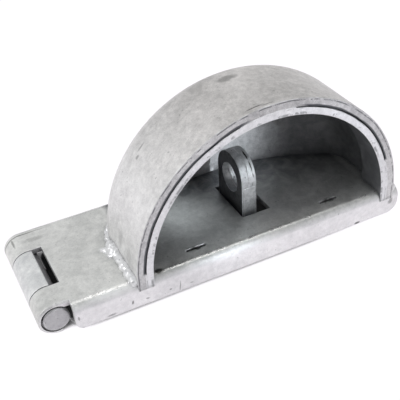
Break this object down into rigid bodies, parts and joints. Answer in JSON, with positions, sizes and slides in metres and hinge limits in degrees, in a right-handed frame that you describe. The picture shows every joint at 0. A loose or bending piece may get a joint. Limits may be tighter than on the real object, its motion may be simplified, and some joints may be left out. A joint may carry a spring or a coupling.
{
  "type": "padlock protection bar",
  "caption": "Hinged steel hasp leaf with a half-dome guard that shields a padlock hung in a round-topped staple.",
  "frame": {"origin": "on the mounting plane, under the middle of the staple", "axes": "+X from the hinge towards the leaf's free end, +Y from the guard's open mouth to its closed back, +Z out of the door"},
  "size_m": [0.1539, 0.0536, 0.0705],
  "materials": {
    "leaf_steel": "hot-dip galvanised, matte",
    "pin_steel": "hot-dip galvanised, matte",
    "guard_steel": "hot-dip galvanised, matte, blasted skin",
    "ring_steel": "hot-dip galvanised, matte",
    "weld_metal": "weld bead, hot-dip galvanised",
    "staple_steel": "hot-dip galvanised, matte"
  },
  "bodies": {
    "fixed_side": {"hinge_plate": "leaf_steel", "hinge_pin": "pin_steel", "staple_base": "staple_steel", "staple_eye_hinge_side": "staple_steel", "staple_eye_free_side": "staple_steel", "staple_weld": "weld_metal"},
    "swing_side": {"hasp_leaf": "leaf_steel", "guard_shell": "guard_steel", "guard_ring": "ring_steel", "guard_weld_free_side": "weld_metal", "guard_weld_hinge_side": "weld_metal"}
  },
  "joints": [
    {"name": "leaf_hinge", "type": "hinge", "parent": "fixed_side", "child": "swing_side", "pos_m": [-0.086, 0, 0.00675], "axis": [0, -1, 0], "range_deg": [0, 135]}
  ]
}
